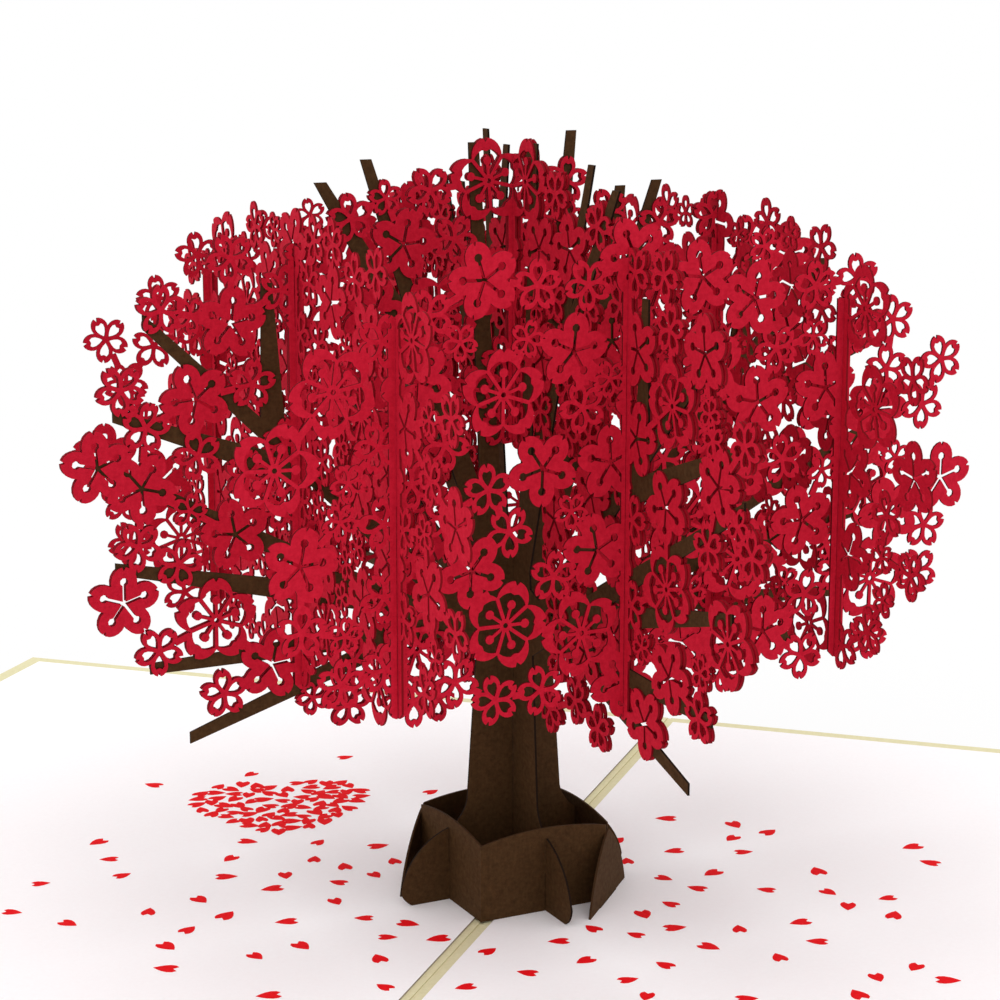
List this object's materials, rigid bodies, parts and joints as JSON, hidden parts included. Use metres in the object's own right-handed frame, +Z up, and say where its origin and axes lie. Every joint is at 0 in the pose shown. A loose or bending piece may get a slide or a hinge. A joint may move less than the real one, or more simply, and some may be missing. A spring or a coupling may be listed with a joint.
{
  "type": "pop up card",
  "caption": "Greeting card lying open with a pop-up blossom tree of interlocked cut-paper slices standing on its fold, for giving and display.",
  "frame": {"origin": "on the underside of the open card, under the middle of the fold", "axes": "+Y along the fold away from the viewer, +X across the leaves to the right, +Z up out of the card"},
  "size_m": [0.254, 0.178, 0.1086],
  "materials": {
    "cover": "matt cream card",
    "liner": "smooth white paper with printed red petals",
    "brown_paper": "matt dark brown paper, laser-cut edges",
    "red_paper": "matt crimson paper, laser-cut edges"
  },
  "bodies": {
    "root": {"card_cover": "cover", "liner_left": "liner", "liner_right": "liner", "root_panel_left": "brown_paper", "root_panel_right": "brown_paper", "root_ring_front": "brown_paper", "root_ring_back": "brown_paper", "trunk_slice_a": "brown_paper", "trunk_slice_b": "brown_paper", "foliage_a_front": "red_paper", "foliage_a_back": "red_paper", "foliage_a_middle_front": "red_paper", "foliage_a_middle_back": "red_paper", "foliage_b_front": "red_paper", "foliage_b_back": "red_paper", "foliage_b_middle_front": "red_paper", "foliage_b_middle_back": "red_paper"}
  },
  "joints": []
}
